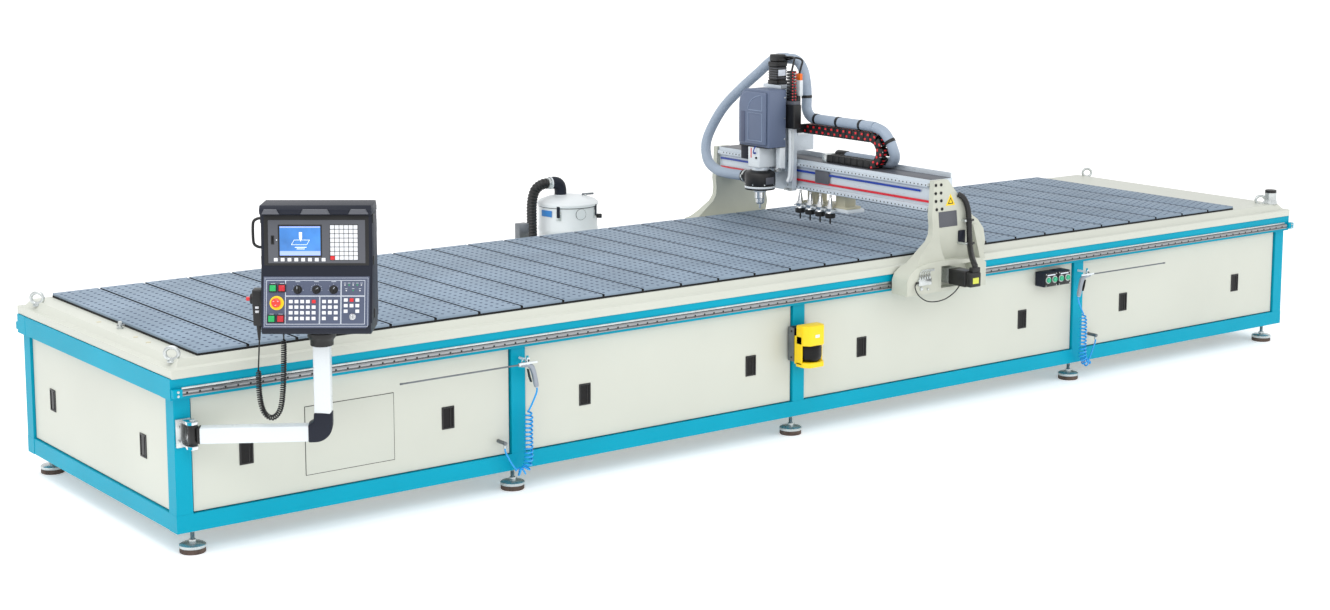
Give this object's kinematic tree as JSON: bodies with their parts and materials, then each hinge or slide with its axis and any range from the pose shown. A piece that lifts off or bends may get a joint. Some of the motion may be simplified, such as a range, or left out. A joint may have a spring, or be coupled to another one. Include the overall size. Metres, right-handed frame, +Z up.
{
  "type": "cnc router",
  "caption": "Long bridge-type CNC router: travelling gantry over a vacuum bed, milling head with dust hose, swing-arm control desk, air guns and a chip collector.",
  "frame": {"origin": "centre of the footprint on the floor", "axes": "+X along the bed away from the control desk, +Y from the operator side towards the chip collector, +Z up"},
  "size_m": [7.6, 3.2068, 1.9104],
  "materials": {
    "frame_paint": "semi-gloss",
    "panel_paint": "satin",
    "foot_rubber": "matt",
    "bed_board": "matt, perforated",
    "guide_steel": "ground",
    "aluminium": "anodised",
    "scanner_yellow": "satin",
    "dark_box": "fine texture",
    "black_plastic": "matt",
    "white_paint": "gloss",
    "hood_grey": "satin",
    "grey_hose": "ribbed",
    "blue_hose": "translucent look",
    "green_button": "gloss",
    "red_button": "gloss"
  },
  "bodies": {
    "machine_base": {"base_frame": "frame_paint", "front_cladding": "panel_paint", "rear_cladding": "panel_paint", "left_end_panel": "panel_paint", "right_end_panel": "panel_paint", "front_left_foot": "foot_rubber", "front_middle_foot": "foot_rubber", "front_right_foot": "foot_rubber", "rear_left_foot": "foot_rubber", "rear_middle_foot": "foot_rubber", "rear_right_foot": "foot_rubber", "table_top": "panel_paint", "vacuum_bed": "bed_board", "front_x_guide": "guide_steel", "rear_x_guide": "guide_steel", "tool_setter": "aluminium", "safety_scanner": "scanner_yellow", "button_station": "dark_box", "air_gun_1": "aluminium", "air_gun_2": "aluminium", "air_hose_1": "blue_hose", "air_hose_2": "blue_hose", "chip_collector": "panel_paint", "collector_hose": "black_plastic"},
    "gantry": {"front_gantry_leg": "panel_paint", "rear_gantry_leg": "panel_paint", "front_x_servo": "black_plastic", "rear_x_servo": "black_plastic", "gantry_beam": "aluminium"},
    "rack": {"tool_rack": "white_paint"},
    "cross_carriage": {"y_carriage": "aluminium", "z_servo": "black_plastic", "chain_upper_run": "black_plastic", "dust_hose_run": "grey_hose", "dust_hose_drop": "grey_hose"},
    "chain_loop": {"chain_bend": "black_plastic"},
    "milling_head": {"spindle_housing": "white_paint", "head_hood": "hood_grey", "dust_shoe": "black_plastic"},
    "spindle": {"spindle_shaft": "guide_steel"},
    "arm": {"desk_arm": "white_paint"},
    "desk": {"desk_housing": "dark_box", "hand_pendant": "black_plastic", "pendant_cord": "black_plastic"},
    "stop_mushroom": {"emergency_stop": "red_button"},
    "start_key": {"start_button": "green_button"},
    "stop_key": {"stop_button": "red_button"},
    "power_on_key": {"power_on_button": "green_button"},
    "power_off_key": {"power_off_button": "red_button"},
    "mode_knob": {"mode_selector": "black_plastic"},
    "feed_knob": {"feed_selector": "black_plastic"},
    "spindle_knob": {"spindle_selector": "black_plastic"},
    "key": {"key_switch": "guide_steel"},
    "wheel": {"pendant_wheel": "red_button"},
    "drive_key_1": {"drive_button_1": "green_button"},
    "drive_key_2": {"drive_button_2": "green_button"},
    "drive_key_3": {"drive_button_3": "green_button"},
    "drive_key_4": {"drive_button_4": "green_button"},
    "trigger_1": {"air_gun_trigger_1": "black_plastic"},
    "trigger_2": {"air_gun_trigger_2": "black_plastic"}
  },
  "joints": [
    {"name": "gantry_slide", "type": "slide", "parent": "machine_base", "child": "gantry", "axis": [1, 0, 0], "range_m": [-3.7, 2.4]},
    {"name": "rack_slide", "type": "slide", "parent": "gantry", "child": "rack", "axis": [1, 0, 0], "range_m": [-0.21, 0]},
    {"name": "cross_slide", "type": "slide", "parent": "gantry", "child": "cross_carriage", "axis": [0, 1, 0], "range_m": [-1.09, 0.5], "deforming": ["chain_upper_run", "dust_hose_run"]},
    {"name": "chain_slide", "type": "slide", "parent": "cross_carriage", "child": "chain_loop", "axis": [0, 1, 0], "range_m": [-0.26, 0.56]},
    {"name": "head_slide", "type": "slide", "parent": "cross_carriage", "child": "milling_head", "axis": [0, 0, 1], "range_m": [-0.1, 0.09], "deforming": ["dust_hose_drop"]},
    {"name": "spindle_spin", "type": "hinge", "parent": "milling_head", "child": "spindle", "pos_m": [0.44, 0.18337, 1.06], "axis": [0, 0, 1], "continuous": true},
    {"name": "arm_swing", "type": "hinge", "parent": "machine_base", "child": "arm", "pos_m": [-3.72, -1.04863, 0.56], "axis": [0, 0, 1], "range_deg": [-80, 0]},
    {"name": "desk_swivel", "type": "hinge", "parent": "arm", "child": "desk", "pos_m": [-3.243, -1.34063, 1], "axis": [0, 0, 1], "range_deg": [-30, 30]},
    {"name": "emergency_press", "type": "slide", "parent": "desk", "child": "stop_mushroom", "axis": [0.5802, 0.7812, -0.2305], "range_m": [0, 0.005]},
    {"name": "start_press", "type": "slide", "parent": "desk", "child": "start_key", "axis": [0.5802, 0.7812, -0.2305], "range_m": [0, 0.003], "stiffness_N_per_m": 400, "springref_m": -0.001},
    {"name": "stop_press", "type": "slide", "parent": "desk", "child": "stop_key", "axis": [0.5802, 0.7812, -0.2305], "range_m": [0, 0.003], "stiffness_N_per_m": 400, "springref_m": -0.001},
    {"name": "power_on_press", "type": "slide", "parent": "desk", "child": "power_on_key", "axis": [0.5802, 0.7812, -0.2305], "range_m": [0, 0.003], "stiffness_N_per_m": 400, "springref_m": -0.001},
    {"name": "power_off_press", "type": "slide", "parent": "desk", "child": "power_off_key", "axis": [0.5802, 0.7812, -0.2305], "range_m": [0, 0.003], "stiffness_N_per_m": 400, "springref_m": -0.001},
    {"name": "mode_turn", "type": "hinge", "parent": "desk", "child": "mode_knob", "pos_m": [-3.37643, -1.3878, 1.208], "axis": [0.5802, 0.7812, -0.2305], "range_deg": [-60, 60]},
    {"name": "feed_turn", "type": "hinge", "parent": "desk", "child": "feed_knob", "pos_m": [-3.31301, -1.4349, 1.208], "axis": [0.5802, 0.7812, -0.2305], "range_deg": [-120, 120]},
    {"name": "spindle_turn", "type": "hinge", "parent": "desk", "child": "spindle_knob", "pos_m": [-3.2544, -1.47842, 1.208], "axis": [0.5802, 0.7812, -0.2305], "range_deg": [-120, 120]},
    {"name": "key_turn", "type": "hinge", "parent": "desk", "child": "key", "pos_m": [-3.20519, -1.54801, 1.096], "axis": [0.5802, 0.7812, -0.2305], "range_deg": [0, 90]},
    {"name": "wheel_turn", "type": "hinge", "parent": "desk", "child": "wheel", "pos_m": [-3.48774, -1.18378, 1.15], "axis": [0.8028, -0.5962, 0], "continuous": true},
    {"name": "drive_press_1", "type": "slide", "parent": "machine_base", "child": "drive_key_1", "axis": [0, 1, 0], "range_m": [0, 0.003], "stiffness_N_per_m": 400, "springref_m": -0.001},
    {"name": "drive_press_2", "type": "slide", "parent": "machine_base", "child": "drive_key_2", "axis": [0, 1, 0], "range_m": [0, 0.003], "stiffness_N_per_m": 400, "springref_m": -0.001},
    {"name": "drive_press_3", "type": "slide", "parent": "machine_base", "child": "drive_key_3", "axis": [0, 1, 0], "range_m": [0, 0.003], "stiffness_N_per_m": 400, "springref_m": -0.001},
    {"name": "drive_press_4", "type": "slide", "parent": "machine_base", "child": "drive_key_4", "axis": [0, 1, 0], "range_m": [0, 0.003], "stiffness_N_per_m": 400, "springref_m": -0.001},
    {"name": "trigger_squeeze_1", "type": "hinge", "parent": "machine_base", "child": "trigger_1", "pos_m": [-1.996, -1.04863, 0.614], "axis": [0, 1, 0], "range_deg": [-4, 0], "stiffness_Nm_per_rad": 2, "springref_deg": 1.15},
    {"name": "trigger_squeeze_2", "type": "hinge", "parent": "machine_base", "child": "trigger_2", "pos_m": [1.876, -1.04863, 0.614], "axis": [0, 1, 0], "range_deg": [0, 4], "stiffness_Nm_per_rad": 2, "springref_deg": -1.15}
  ],
  "couplings": [
    {"joint": "chain_slide", "follows": "cross_slide", "ratio": -0.5}
  ]
}
